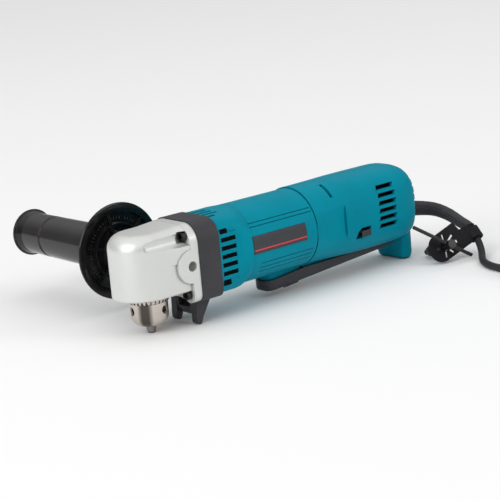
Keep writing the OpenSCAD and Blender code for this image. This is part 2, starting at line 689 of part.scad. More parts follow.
// Rod along the jaw's slope, measured from the tip
module jaw_rod(s0, s1, r) translate([0, 0, floor_z]) rotate([0, jaw_lean, 0]) translate([0, 0, s0])
    cylinder(h = s1 - s0, r = r);
module chuck_body() color(steel) on_axis() difference() {
    chuck_revolved([
        [0, nose_z], [nose_r - 0.6, nose_z], [nose_r, nose_z + 0.6], [chuck_r - 0.4, nose_top - 0.5],
        [chuck_r, nose_top + 0.6], [chuck_r, nut_low - 0.4], [10.2, nut_low - 0.4], [10.2, nut_top + 0.4],
        [chuck_r, nut_top + 0.4], [chuck_r, chuck_top - 1], [chuck_r - 1, chuck_top], [0, chuck_top]
    ]);
    translate([0, 0, -20]) cylinder(h = 20, r = 4.75);
    each_jaw() jaw_rod(-2, 60, jaw_r + 0.08);
    for (i = [0:2]) rotate(key_hole_turn + 120 * i) translate([0, 0, key_hole_z]) {
        rod_x(8, 20, key_hole_r);
        rod_x(chuck_r - 0.8, 20, key_hole_r + 0.7);
    }
}
module chuck_sleeve() color(steel) on_axis() difference() {
    chuck_revolved([
        [nut_r, -25.2], [sleeve_r - 1.4, -25.2], [sleeve_r, -22.4], [sleeve_r, -10.3], [sleeve_r - 0.8, -9.5],
        [nut_r, -9.5]
    ]);
    for (i = [0:sleeve_teeth - 1]) rotate(i * 360 / sleeve_teeth) translate([0, 0, -25.3])
        along_x(14, 20) polygon([[-1.1, 0], [1.1, 0], [0.3, 3.2], [-0.3, 3.2]]);
    for (i = [0:35]) rotate(i * 10) translate([sleeve_r + 0.35, 0, -21]) cylinder(h = 10, r = 0.75);
}
// Height along the jaw's slope to the radius of its outer side
function jaw_out(z) = (z - floor_z) * tan(jaw_lean) + jaw_r / cos(jaw_lean);
module chuck_nut() color(steel) on_axis() chuck_revolved([
    [jaw_out(nut_low) + 0.4, nut_low], [nut_r, nut_low], [nut_r, nut_top], [jaw_out(nut_top) + 0.4, nut_top]
]);
module chuck_jaw(i) color(steel) on_axis() rotate(key_hole_turn + 60 + 120 * i) difference() {
    jaw_rod(-3, jaw_len, jaw_r);
    translate([-20, -20, floor_z - 20]) cube([40, 40, 20]);
    for (s = [-1, 1]) rotate(s * 60) translate([-20, s > 0 ? -0.18 : -39.82, floor_z - 5]) cube([40, 40, 60]);
}
module chuck_jaw_1() chuck_jaw(0);
module chuck_jaw_2() chuck_jaw(1);
module chuck_jaw_3() chuck_jaw(2);
module spindle() color(steel) on_axis() {
    translate([0, 0, 3]) cylinder(h = 18.4, r = 5);
    translate([0, 0, 21.4]) cylinder(h = 6, r = 4);
    translate([0, 0, chuck_top]) cylinder(h = 3 - chuck_top, r = 6);
    translate([0, 0, -19.5]) cylinder(h = 19.5 + chuck_top, r = 4.75);
}
// Height of the bevel gear's large end, and its tooth heights measured across the axis
bevel_z = lay_z - bevel_pinion_r;
gear_lean = bevel_cone / bevel_pinion_r;
pinion_lean = bevel_cone / bevel_gear_r;
module bevel_gear() color(steel) on_axis() difference() {
    union() {
        intersection() {
            translate([0, 0, bevel_z]) rotate(180 / bevel_gear_n)
                linear_extrude(height = bevel_pinion_r * (1 - bevel_scale), scale = bevel_scale)
                gear_outline(bevel_gear_r, bevel_gear_n, 0.8 * gear_lean, 1.15 * gear_lean, 0.38,
                    0.36 / gear_lean);
            cylinder(h = 60, r = bevel_gear_r + 0.8);
        }
        translate([0, 0, 4]) cylinder(h = bevel_z - 4, r = bevel_gear_r - 2.5);
    }
    cylinder(h = 40, r = 5);
}
module layshaft() color(steel) on_layshaft() {
    rotate([0, -90, 0]) translate([0, 0, -bevel_gear_r]) rotate(180)
        linear_extrude(height = bevel_gear_r * (1 - bevel_scale), scale = bevel_scale)
        gear_outline(bevel_pinion_r, bevel_pinion_n, 0.8 * pinion_lean, 1.15 * pinion_lean, 0.38,
            0.36 / pinion_lean);
    rod_x(bevel_gear_r, 49, 4);
    rod_x(49, 56.5, 3);
}
module reduction_gear() color(steel) on_layshaft() difference() {
    along_x(37, 46) gear_outline(spur_m * reduction_n / 2, reduction_n, 0.62, 0.95, 0.38);
    rod_x(30, 50, 4);
}

// Side handle, on its own axis along Y

grip_y0 = guard_y + 4;
grip_y1 = handle_end - 12;
module on_handle() translate([handle_x, 0, axis_h]) rotate([-90, 0, 0]) children();
module hand_guard() color(black) on_handle() difference() {
    union() {
        rotate_extrude() polygon(concat(
            [[0, flange_w], [6.5, flange_w], [6.5, flange_w + 1.2], [9.5, flange_w + 1.2], [10.5, 58],
             [14, guard_y - 3], [16.5, guard_y - 3], [16.5, guard_y + 1.5], [guard_r - 8, guard_y + 1.5],
             [guard_r - 6.5, guard_y - 1.2]],
            arc([guard_r - 1.2, guard_y], 1.2, -90, 60, 4),
            [[guard_r - 5.5, guard_y + 1.4], [guard_r - 7.4, grip_y0], [0, grip_y0]]));
        for (i = [0:5]) rotate(i * 60 + 15) translate([16, -0.9, guard_y - 2]) cube([16.5, 1.8, 4]);
        rotate_extrude() translate([22, guard_y - 1]) square([1.4, 3]);
    }
    translate([0, 0, 20]) cylinder(h = 40, r = handle_hole_r);
}
module handle_grip() color("#47474b") on_handle() rotate_extrude() polygon([
    [0, grip_y0], [grip_r + 0.4, grip_y0], [grip_r + 0.6, grip_y0 + 8], [grip_r, handle_end - 42],
    [grip_r - 0.9, handle_end - 41], [grip_r - 0.9, handle_end - 39], [grip_r, handle_end - 38],
    [grip_r - 0.2, grip_y1], [0, grip_y1]
]);
module handle_cap() color(black) on_handle() rotate_extrude() polygon(concat(
    [[0, grip_y1], [grip_r - 0.6, grip_y1], [end_r - 1.4, handle_end - 5]],
    arc([end_r - 1.8, handle_end - 3.2], 1.8, -40, 90, 4),
    [[12, handle_end - 1], [0, handle_end - 1]]));
module handle_stud() color(steel) on_handle() translate([0, 0, 17]) cylinder(h = 43, r = handle_hole_r);

// Mains lead with its guard, coil and plug

guard_root_r = 7.6;
guard_end_r = 4.8;
// The coil winds inwards and outwards in turn, and climbs a layer where it reverses
function coil_wave(t) = let (u = t * coil_layers / coil_turns, k = floor(u), f = u - k)
    k % 2 == 0 ? f : 1 - f;
function coil_level(t) = let (per = coil_turns / coil_layers) coil_low + coil_rise *
    ([for (k = [1:coil_layers - 1]) smooth((t - k * per) / 0.5 + 0.5)] * [for (k = [1:coil_layers - 1]) 1]);
function coil_point(t) = let (r = coil_out - coil_sweep * coil_wave(t), a = 180 + 360 * t)
    [coil_at[0] + r * cos(a), coil_at[1] + r * sin(a), coil_level(t)];
coil_line = [for (i = [0:coil_turns * coil_loop_rings]) coil_point(i / coil_loop_rings)];
// Least distance between turns, from points that are more than half a turn apart
coil_gap = min([for (i = [0:len(coil_line) - 1]) min([for (j = [0:len(coil_line) - 1])
    if (abs(i - j) > coil_loop_rings / 2) norm(coil_line[i] - coil_line[j])])]) - cord_d;
// The whole lead in one line, and where its pieces end
lead_line = concat(smooth_route(concat(guard_route, rest(cord_route)), 2), rest(coil_line),
    rest(smooth_route(tail_route, 2)));
guard_last = 2 * (len(guard_route) - 1);
cord_last = guard_last + 2 * (len(cord_route) - 1);
coil_last = cord_last + len(coil_line) - 1;
tail_last = len(lead_line) - 1;
module lead_tube(first, last, sides)
    skin(tube_rings(lead_line, first, last, cord_d / 2, cord_d / 2, sides));
module cord_guard() color(charcoal) {
    skin(tube_rings(lead_line, 0, guard_last, guard_root_r - tuck, guard_end_r, 16));
    translate([0, 0, guard_route[0][2]]) rod_x(rear_x - 16, guard_route[0][0] + 1, guard_root_r);
}
module cord() color(black) lead_tube(guard_last, cord_last, 10);
module cord_coil() color(black) {
    echo(coil_gap = coil_gap);
    lead_tube(cord_last, coil_last, 6);
}
module cord_tail() color(black) lead_tube(coil_last, tail_last, 10);
module coil_tie() color("#2a2a2c") {
    low = 0.05;
    band = 0.8;
    r_in = coil_out - coil_sweep - cord_d / 2 - 1.4;
    r_out = coil_out + cord_d / 2 + 1.4;
    high = coil_high + cord_d / 2 + 1.3;
    along_x(coil_at[0] - 2.5, coil_at[0] + 2.5) difference() {
        translate([coil_at[1] - r_out, low]) square([r_out - r_in, high - low]);
        translate([coil_at[1] - r_out + band, low + band])
            square([r_out - r_in - 2 * band, high - low - 2 * band]);
    }
}
module plug_body() color(black) translate([plug_x, tail_y, plug_h / 2]) {
    hull() {
        rod_x(0, 1, 5.5, $fn = 32);
        for (s = [-1, 1]) translate([14, s * 8, 0]) sphere(r = 8, $fn = 24);
    }
    hull() for (s = [-1, 1]) translate([0, s * 9, 0]) {
        rod_x(16, 40, 8, $fn = 32);
        rod_x(26, 42, 9.9, $fn = 32);
    }
}
module plug_pins() color(steel) translate([plug_x, tail_y, plug_h / 2])
    for (s = [-1, 1]) translate([0, s * 9.5, 0]) rod_x(42, 61, 2.4);

// Chuck key in its rubber holder, which hangs on the lead at the guard's end

collar_axis = unit(cord_route[1] - cord_route[0]);
holder_c = key_hub + holder_at * key_axis;
holder_way = let (w = cord_route[0] - holder_c) unit(w - (w * key_axis) * key_axis);
// Frame of the flat strap: along it to the lead, across it, and along the key
strap_x = let (a = acos(key_axis[2]), b = atan2(key_axis[1], key_axis[0]))
    [cos(a) * cos(b), cos(a) * sin(b), -sin(a)];
strap_turn = atan2(holder_way * cross(key_axis, strap_x), holder_way * strap_x);
module on_strap() translate(holder_c) aim(key_axis) rotate(strap_turn) children();
// Slits around the key's hole: direction, and where each begins and ends
strap_slits = [
    [-74, 5.2, 10.3], [-23, 5.2, 13], [9, 9.6, 14], [62, 5.2, 10], [115, 4.8, 9.8], [190, 5.2, 10]
];
slit_w = 2.4;
strap_t = 2;
module strap_outline() difference() {
    union() {
        translate([-4.5, -0.6]) circle(r = 12.2);
        polygon([[-4.5, -12.7], [18, -13.5], [20.5, -5], [33, -4.5], [36, 11], [24.6, 10.8], [-4.5, 11.5]]);
    }
    circle(r = 4.3);
    for (s = strap_slits) rotate(s[0]) translate([s[1], -slit_w / 2]) square([s[2] - s[1], slit_w]);
}
module key_holder() color("#232326") difference() {
    union() {
        translate(cord_route[0] + 1.6 * collar_axis) aim(collar_axis) cylinder(h = 10.4, r = 6.2);
        on_strap() translate([0, 0, -strap_t]) linear_extrude(strap_t) strap_outline();
    }
    translate(cord_route[0] - collar_axis) aim(collar_axis) cylinder(h = 24, r = 4.2);
}
module chuck_key() color(black) translate(key_hub) aim(key_axis) difference() {
    union() {
        translate([0, 0, -4]) cylinder(h = 32, r = 4);
        translate([0, 0, 27]) linear_extrude(height = 6, scale = 0.78) gear_outline(5, 11, 0.8, 0.7, 0.45);
        translate([0, 0, 33]) cylinder(h = 5, r = 2.6);
    }
    aim_across() cylinder(h = 20, r = 1.6, center = true);
}
// Turns the key's own frame so that +Z lies along the cross bar
module aim_across() {
    a = acos(key_axis[2]);
    b = atan2(key_axis[1], key_axis[0]);
    rotate([0, -a, 0]) rotate([0, 0, -b]) aim(bar_axis) children();
}
module key_bar() color(black) translate(key_hub) aim(bar_axis) translate([0, 0, bar_ends[0]])
    cylinder(h = bar_ends[1] - bar_ends[0], r = 1.6);

// Every sub-part at its place
gear_housing();
front_collar();
lamp_lens();
lamp_board();
head_screws();
spindle_bearing_upper();
spindle_bearing_lower();
layshaft_bearing_front();
layshaft_bearing_rear();
bearing_plate();
motor_housing();
name_plate();
rear_housing_left();
rear_housing_right();
rear_screws();
armature_bearing_front();
armature_bearing_rear();
field_core();
field_coils();
brush_holders();
carbon_brushes();
brush_springs();
switch_body();
cord_clamp();
cord_guard();
cord();
cord_coil();
cord_tail();
coil_tie();
plug_body();
plug_pins();
key_holder();
chuck_key();
key_bar();
hand_guard();
handle_grip();
handle_cap();
handle_stud();
paddle_pin();
armature_shaft();
armature_core();
armature_winding();
commutator();
fan();
layshaft();
reduction_gear();
spindle();
bevel_gear();
chuck_body();
chuck_sleeve();
chuck_nut();
chuck_jaw_1();
chuck_jaw_2();
chuck_jaw_3();
paddle_lever();
lock_lever();
lock_pin();
reverse_lever();
switch_button();
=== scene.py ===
import json
import math

import bmesh
import bpy
from mathutils import Matrix, Vector


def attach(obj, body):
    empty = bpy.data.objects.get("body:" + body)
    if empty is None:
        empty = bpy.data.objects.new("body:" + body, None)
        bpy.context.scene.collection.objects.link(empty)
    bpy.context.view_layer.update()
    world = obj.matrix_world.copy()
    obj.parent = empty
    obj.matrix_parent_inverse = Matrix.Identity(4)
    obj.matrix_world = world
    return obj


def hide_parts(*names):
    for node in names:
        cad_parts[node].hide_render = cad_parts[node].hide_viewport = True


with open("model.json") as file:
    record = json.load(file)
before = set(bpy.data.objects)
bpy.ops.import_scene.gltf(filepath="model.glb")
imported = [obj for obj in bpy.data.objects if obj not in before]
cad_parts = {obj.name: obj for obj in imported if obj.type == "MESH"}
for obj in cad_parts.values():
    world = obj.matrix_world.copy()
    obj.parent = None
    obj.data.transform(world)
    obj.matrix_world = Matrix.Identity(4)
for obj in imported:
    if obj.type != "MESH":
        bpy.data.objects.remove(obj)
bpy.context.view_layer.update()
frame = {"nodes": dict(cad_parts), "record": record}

NODES = frame["nodes"]
MM = 0.001
MICRON = 1e-6
scene = bpy.context.scene


def link(obj):
    scene.collection.objects.link(obj)
    return obj


# Camera at the photograph's viewing angle

EYE = Vector((-0.670, -0.947, 0.340))
RIGHT = Vector((0.7575, -0.6473, -0.0849))
UP = Vector((0.2167, 0.1267, 0.9680))
BACK = Vector((-0.6159, -0.7516, 0.2361))
camera_data = bpy.data.cameras.new("camera")
camera_data.sensor_fit = "HORIZONTAL"
camera_data.sensor_width = 36
camera_data.lens = 111.05
camera_data.clip_start = 0.01
camera_data.clip_end = 60
camera = link(bpy.data.objects.new("camera", camera_data))
camera.matrix_world = Matrix.Translation(EYE) @ Matrix((RIGHT, UP, BACK)).transposed().to_4x4()
scene.camera = camera


# Materials: lengths in metres, noise scales in waves per metre

# Painted shade in corners and gaps: how far it reaches, its darkest share, and where the shade starts and
# ends
CORNERS = {"reach": 0.0025, "darkest": 0.35, "at": (0.35, 0.85)}
# Painted shade between the chuck sleeve's teeth, darkened almost to black
TOOTH_GAP_SHADE = {"reach": 0.004, "darkest": 0.02, "at": (0.5, 0.95)}
SEAM_HALF, SEAM_EDGE, SEAM_SHADE = 0.00022, (0.55, 1.0), 0.2
# Painted reflection on turned steel: the count, turn, soft edge and darkness of its dark upright stripes
BAND_COUNT, BAND_TURN, BAND_EDGE, BAND_SHADE = 3, 220, (0.25, 0.85), 0.13


class Surface:
    """A material with its shader and the object's own coordinates, in metres."""

    def __init__(self, name):
        self.material = bpy.data.materials.new(name)
        self.material.use_nodes = True
        self.tree = self.material.node_tree
        self.shader = self.tree.nodes["Principled BSDF"]
        self.place = self.node("ShaderNodeTexCoord").outputs["Object"]

    def node(self, kind, **values):
        made = self.tree.nodes.new(kind)
        for key, value in values.items():
            setattr(made, key, value)
        return made

    def wire(self, out, target):
        self.tree.links.new(out, target)

    def put(self, name, value):
        """Sets a value that is the same all over the surface."""
        self.shader.inputs[name].default_value = value

    def scaled(self, scale):
        """The coordinates times a number or three numbers."""
        scale = (scale,) * 3 if isinstance(scale, (int, float)) else scale
        made = self.node("ShaderNodeVectorMath", operation="MULTIPLY")
        made.inputs[1].default_value = scale
        self.wire(self.place, made.inputs[0])
        return made.outputs[0]

    def noise(self, scale, detail=3.0, roughness=0.55):
        made = self.node("ShaderNodeTexNoise")
        made.inputs["Scale"].default_value = 1.0
        made.inputs["Detail"].default_value = detail
        made.inputs["Roughness"].default_value = roughness
        self.wire(self.scaled(scale), made.inputs["Vector"])
        return made.outputs["Fac"]

    def ramp(self, fac, low, high, at=(0.3, 0.7)):
        """A value or colour from low to high as fac goes between the two places."""
        made = self.node("ShaderNodeValToRGB")
        for stop, pos, value in zip(made.color_ramp.elements, at, (low, high)):
            stop.position = pos
            stop.color = (value,) * 3 + (1,) if isinstance(value, (int, float)) else (*value, 1)
        self.wire(fac, made.inputs[0])
        return made.outputs[0]

    def blend(self, fac, a, b):
        made = self.node("ShaderNodeMix", data_type="RGBA")
        for value, target in ((fac, made.inputs[0]), (a, made.inputs[6]), (b, made.inputs[7])):
            if isinstance(value, bpy.types.NodeSocket):
                self.wire(value, target)
            else:
                target.default_value = value if isinstance(value, float) else (*value, 1)
        return made.outputs[2]

    def middle_line(self):
        """1 on a thin line where y is 0, and 0 beside it."""
        way = self.node("ShaderNodeSeparateXYZ")
        self.wire(self.scaled(1 / SEAM_HALF), way.inputs[0])
        off = self.node("ShaderNodeMath", operation="ABSOLUTE")
        self.wire(way.outputs["Y"], off.inputs[0])
        return self.ramp(off.outputs[0], 1.0, 0.0, SEAM_EDGE)

    def painted_reflection_bands(self):
        """Painted reflection: a value between 0 and 1 that marks dark upright stripes round the spindle's
        axis.
        """
        way = self.node("ShaderNodeSeparateXYZ")
        self.wire(self.place, way.inputs[0])
        angle = self.node("ShaderNodeMath", operation="ARCTAN2")
        self.wire(way.outputs["Y"], angle.inputs[0])
        self.wire(way.outputs["X"], angle.inputs[1])
        wave = self.node("ShaderNodeMath", operation="MULTIPLY_ADD")
        self.wire(angle.outputs[0], wave.inputs[0])
        wave.inputs[1].default_value = BAND_COUNT
        wave.inputs[2].default_value = -BAND_COUNT * math.radians(BAND_TURN)
        band = self.node("ShaderNodeMath", operation="COSINE")
        self.wire(wave.outputs[0], band.inputs[0])
        return self.ramp(band.outputs[0], 0.0, 1.0, BAND_EDGE)

    def colour(self, out, reach, darkest, at):
        """Sets the base colour with painted shade: darker in corners and gaps that are narrower than the
        reach.
        """
        near = self.node("ShaderNodeAmbientOcclusion", samples=8)
        near.inputs["Distance"].default_value = reach
        painted_shade = self.ramp(near.outputs["AO"], darkest, 1.0, at)
        made = self.node("ShaderNodeMix", data_type="RGBA", blend_type="MULTIPLY")
        made.inputs[0].default_value = 1.0
        self.wire(out, made.inputs[6])
        self.wire(painted_shade, made.inputs[7])
        self.wire(made.outputs[2], self.shader.inputs["Base Color"])

    def rough(self, fac, low, high):
        self.wire(self.ramp(fac, low, high), self.shader.inputs["Roughness"])

    def relief(self, layers, edge):
        """Bumps from (height, depth) pairs, over edges that are softened by a small radius."""
        soft = self.node("ShaderNodeBevel", samples=6)
        soft.inputs["Radius"].default_value = edge
        normal = soft.outputs[0]
        for height, depth in layers:
            bump = self.node("ShaderNodeBump")
            bump.inputs["Strength"].default_value = 1.0
            bump.inputs["Distance"].default_value = depth
            self.wire(height, bump.inputs["Height"])
            self.wire(normal, bump.inputs["Normal"])
            normal = bump.outputs[0]
        self.wire(normal, self.shader.inputs["Normal"])


def shade(rgb, factor):
    return tuple(min(1, c * factor) for c in rgb)


def plastic(name, rgb, rough=(0.34, 0.46), grain=2600, depth=12 * MICRON, vary=0.06, specular=0.5,
            seam=False):
    """Moulded plastic: a fine grain, slight shade changes, a soft sheen and a parting line if asked."""
    s = Surface(name)
    clouds, ripple, fine, sheen = s.noise(38, 4), s.noise(60, 2), s.noise(grain, 2, 0.5), s.noise(700)
    tone = s.ramp(clouds, shade(rgb, 1 - vary), shade(rgb, 1 + vary))
    if seam:
        tone = s.blend(s.middle_line(), tone, shade(rgb, SEAM_SHADE))
    s.colour(tone, **CORNERS)
    s.rough(sheen, *rough)
    s.relief([(ripple, 50 * MICRON), (fine, depth)], edge=0.0005)
    s.put("Specular IOR Level", specular)
    return s.material


def cast_paint(name, rgb):
    """Silver paint on a die casting: an uneven skin, with fine metal flakes in the paint."""
    s = Surface(name)
    flakes, clouds, sheen = s.noise(5200, 2, 0.7), s.noise(24, 4), s.noise(900)
    ripple, skin = s.noise(95), s.noise(1500, 3, 0.6)
    tone = s.blend(clouds, shade(rgb, 0.95), shade(rgb, 1.04))
    glints = s.ramp(flakes, 0.0, 0.5, (0.45, 0.75))
    s.colour(s.blend(glints, tone, shade(rgb, 1.12)), **CORNERS)
    s.rough(sheen, 0.34, 0.47)
    s.relief([(ripple, 70 * MICRON), (skin, 14 * MICRON)], edge=0.0007)
    s.put("Metallic", 0.55)
    s.put("Specular IOR Level", 0.5)
    return s.material


def steel(name, rgb, rough=(0.16, 0.34), lines=(0, 0, 5200), depth=6 * MICRON, metallic=1.0, turned=0.0,
          corners=CORNERS):
    """Machined steel: fine tool lines, uneven gloss and, on turned steel, a stretched gloss with a painted
    reflection of dark upright stripes.
    """
    s = Surface(name)
    line, clouds = s.noise(lines, 3, 0.6), s.noise(120, 4)
    tone = s.blend(clouds, shade(rgb, 0.82), rgb)
    if turned:
        # Painted reflection: dark upright stripes round the spindle's axis.
        tone = s.blend(s.painted_reflection_bands(), tone, shade(rgb, BAND_SHADE))
        tangent = s.node("ShaderNodeTangent", direction_type="RADIAL", axis="Z")
        s.wire(tangent.outputs[0], s.shader.inputs["Tangent"])
        s.put("Anisotropic", turned)
    s.colour(tone, **corners)
    s.rough(s.blend(0.5, line, clouds), *rough)
    s.relief([(line, depth)], edge=0.0003)
    s.put("Metallic", metallic)
    return s.material


def rubber(name, rgb, specular=0.25):
    """Rubber or another dull dark surface, with a fine grain."""
    s = Surface(name)
    clouds, sheen, ripple, fine = s.noise(70, 4), s.noise(420, 4), s.noise(160, 2), s.noise(1900, 3, 0.6)
    s.colour(s.ramp(clouds, shade(rgb, 0.85), shade(rgb, 1.2)), **CORNERS)
    s.rough(sheen, 0.5, 0.66)
    s.relief([(ripple, 50 * MICRON), (fine, 20 * MICRON)], edge=0.0004)
    s.put("Specular IOR Level", specular)
    return s.material


def wound(name, rgb, lines):
    """Enamelled wire or stamped sheets: close lines across the given direction."""
    s = Surface(name)
    line = s.noise(lines, 1, 0.4)
    s.colour(s.ramp(line, shade(rgb, 0.55), shade(rgb, 1.15)), **CORNERS)
    s.rough(line, 0.25, 0.5)
    s.relief([(line, 120 * MICRON)], edge=0.0003)
    s.put("Metallic", 0.85)
    return s.material


def clear(name):
    """Clear plastic of the lamp's lens."""
    s = Surface(name)
    s.put("Base Color", (0.93, 0.95, 0.96, 1))
    s.put("Transmission Weight", 0.9)
    s.put("IOR", 1.49)
    s.rough(s.noise(300), 0.04, 0.14)
    s.relief([(s.noise(220, 2), 30 * MICRON)], edge=0.0003)
    return s.material


TEAL = (0.0, 0.245, 0.338)
SILVER = (0.69, 0.7, 0.675)
CHARCOAL = (0.042, 0.0415, 0.048)
BRIGHT = (0.66, 0.6, 0.54)
SATIN = {"rough": (0.36, 0.48), "specular": 0.05}
POLISHED = {"rough": (0.12, 0.2), "grain": 900, "depth": 3 * MICRON, "vary": 0.15}
FOIL = {"rough": (0.26, 0.36), "grain": 4200, "depth": 4 * MICRON, "vary": 0.05}
LOOKS = {
    "cast": cast_paint("silver_cast", SILVER),
    "teal": plastic("teal_moulding", TEAL, **SATIN),
    "dark": plastic("charcoal_moulding", CHARCOAL, rough=(0.42, 0.56), vary=0.12, specular=0.28),
    "grip": plastic("grip_moulding", (0.014, 0.012, 0.013), specular=0.45, **POLISHED),
    "rubber": rubber("black_rubber", (0.022, 0.0215, 0.025)),
    "plate": plastic("dark_foil", (0.046, 0.048, 0.056), specular=0.25, **FOIL),
    "screw": steel("blackened_steel", (0.05, 0.049, 0.05), rough=(0.28, 0.5), lines=900,
                   depth=10 * MICRON, metallic=0.9),
    "bearing": steel("ground_steel", (0.6, 0.59, 0.57)),
    "chrome": steel("turned_steel_painted_reflection", BRIGHT, rough=(0.18, 0.3), turned=0.7),
    "jaw": steel("hardened_steel", (0.36, 0.33, 0.31), rough=(0.24, 0.4), lines=1800),
    "iron": wound("stamped_sheets", (0.32, 0.32, 0.33), (3200, 0, 0)),
    "copper": wound("enamelled_wire", (0.62, 0.33, 0.15), (600, 900, 900)),
    "carbon": rubber("carbon", (0.03, 0.03, 0.03)),
    "lens": clear("clear_lens"),
    "board": plastic("ivory_moulding", (0.72, 0.69, 0.58)),
}
GLOSS = plastic("gloss_moulding", (0.005, 0.005, 0.0055), specular=0.4, **POLISHED)
# Painted shade: a nearly black sheet stands in for the shade inside the air slots.
SLOT_SHADE = rubber("painted_slot_shade", (0.003, 0.003, 0.003), specular=0.03)
SEAMED = plastic("teal_moulding_with_parting_line", TEAL, seam=True, **SATIN)
# Painted shade: the gaps between the sleeve's teeth darken almost to black.
TOOTHED = steel("toothed_steel", BRIGHT, rough=(0.18, 0.3), corners=TOOTH_GAP_SHADE)
BRASS = steel("plug_brass", (0.74, 0.56, 0.3), rough=(0.2, 0.34))
GUARD = rubber("guard_rubber", (0.038, 0.0375, 0.043))
HOLDER = rubber("holder_rubber", (0.0095, 0.0093, 0.0108), specular=0.15)
RED = plastic("red_line", (0.72, 0.035, 0.05), **FOIL)
OWN_LOOK = {
    "hand_guard": GLOSS, "handle_cap": GLOSS, "lock_lever": GLOSS, "rear_housing_left": SEAMED,
    "rear_housing_right": SEAMED, "chuck_sleeve": TOOTHED, "plug_pins": BRASS, "cord_guard": GUARD,
    "key_holder": HOLDER,
}
for row in frame["record"]["subparts"]:
    for material_slot in NODES[row["node"]].material_slots:
        material_slot.material = OWN_LOOK.get(row["node"], LOOKS[row["material_slot"]])


# Shading of the solids: one closed skin, smooth where the faces meet at a shallow angle

WELD = 2e-6
SMOOTH_BELOW = 28


def smoothing():
    group = bpy.data.node_groups.new(f"smooth_{SMOOTH_BELOW}", "GeometryNodeTree")
    for way in ("INPUT", "OUTPUT"):
        group.interface.new_socket("Geometry", in_out=way, socket_type="NodeSocketGeometry")
    new, join = group.nodes.new, group.links.new
    start, end = new("NodeGroupInput"), new("NodeGroupOutput")
    weld = new("GeometryNodeMergeByDistance")
    weld.inputs["Distance"].default_value = WELD
    plain = new("GeometryNodeRemoveAttribute")
    plain.inputs["Name"].default_value = "custom_normal"
    faces, edges = new("GeometryNodeSetShadeSmooth"), new("GeometryNodeSetShadeSmooth")
    edges.domain = "EDGE"
    edges.inputs["Shade Smooth"].default_value = False
    bend, sharp = new("GeometryNodeInputMeshEdgeAngle"), new("FunctionNodeCompare")
    sharp.operation = "GREATER_THAN"
    sharp.inputs[1].default_value = math.radians(SMOOTH_BELOW)
    join(bend.outputs["Unsigned Angle"], sharp.inputs[0])
    join(sharp.outputs[0], edges.inputs["Selection"])
    chain = [start, weld, plain, faces, edges, end]
    for a, b in zip(chain, chain[1:]):
        join(next(o for o in a.outputs if o.type == "GEOMETRY"),
             next(i for i in b.inputs if i.type == "GEOMETRY"))
    return group


SMOOTH = smoothing()
for node in NODES.values():
    node.modifiers.new("smooth", "NODES").node_group = SMOOTH


# Pieces of the scene, from points in millimetres

AXIS_Z = 51
MOTOR_Z = 52


def point(p):
    return Vector(p) * MM


def add(name, data, look, body):
    """An object that moves with a body of the part."""
    data.materials.append(look)
    piece = link(bpy.data.objects.new(name, data))
    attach(piece, body)
    return piece


def tube(name, line, radius, look, body):
    """A round tube along a line of points."""
    data = bpy.data.curves.new(name, "CURVE")
    data.dimensions = "3D"
    data.bevel_depth = radius * MM
    data.bevel_resolution = 5
    data.use_fill_caps = True
    spline = data.splines.new("POLY")
    spline.points.add(len(line) - 1)
    for target, p in zip(spline.points, line):
        target.co = (*point(p), 1)
    spline.use_smooth = True
    return add(name, data, look, body)


def solid(name, verts, faces, look, body, slot):
    """A mesh from points and faces, with its faces turned outwards."""
    data = bpy.data.meshes.new(name)
    data.from_pydata([point(v) for v in verts], [], faces)
    shape = bmesh.new()
    shape.from_mesh(data)
    bmesh.ops.recalc_face_normals(shape, faces=shape.faces[:])
    shape.to_mesh(data)
    shape.free()
    return add(name, data, look, body)


def rounded_box(name, x, y, z, radius, look, body):
    """A box with round edges between the limits in x, y and z, with z from the handle's axis."""
    data = bpy.data.meshes.new(name)
    shape = bmesh.new()
    bmesh.ops.create_cube(shape, size=1)
    limits = x, y, [AXIS_Z + h for h in z]
    for v in shape.verts:
        v.co = point([(a + b) / 2 + c * (b - a) for (a, b), c in zip(limits, v.co)])
    bmesh.ops.bevel(shape, geom=shape.edges[:], offset=radius * MM, segments=5, profile=0.5, affect="EDGES")
    for face in shape.faces:
        face.smooth = True
    shape.to_mesh(data)
    shape.free()
    return add(name, data, look, body)


def prism(rings):
    """Points and faces of a closed skin over rings with the same count."""
    n, m = len(rings[0]), len(rings)
    faces = [tuple(range(n))[::-1], tuple((m - 1) * n + i for i in range(n))]
    for j in range(m - 1):
        for i in range(n):
            k = (i + 1) % n
            faces.append((j * n + i, j * n + k, (j + 1) * n + k, (j + 1) * n + i))
    return [v for ring in rings for v in ring], faces


def plate(x, y, z):
    """Points and faces of a thin plate between the limits in x, y and z, with z from the handle's axis."""
    corners = [(y[0], z[0]), (y[1], z[0]), (y[1], z[1]), (y[0], z[1])]
    return prism([[(at, b, AXIS_Z + c) for b, c in corners] for at in x])


def turned_ring(profile, steps):
    """Points and faces of a ring: points (z from the handle's axis, r) turned about the spindle's axis."""
    n = len(profile)
    verts, faces = [], []
    for i in range(steps):
        a = math.radians(360 * i / steps)
        verts += [(r * math.cos(a), r * math.sin(a), AXIS_Z + z) for z, r in profile]
        here, there = n * i, n * ((i + 1) % steps)
        for j in range(n):
            k = (j + 1) % n
            faces.append((here + j, here + k, there + k, there + j))
    return verts, faces


def joined(parts):
    """Points and faces of several closed skins as one mesh."""
    verts, faces = [], []
    for more_verts, more_faces in parts:
        faces += [tuple(f + len(verts) for f in face) for face in more_faces]
        verts += more_verts
    return verts, faces


# Mains lead: from its guard down to the floor, round the stored coil and out to the plug

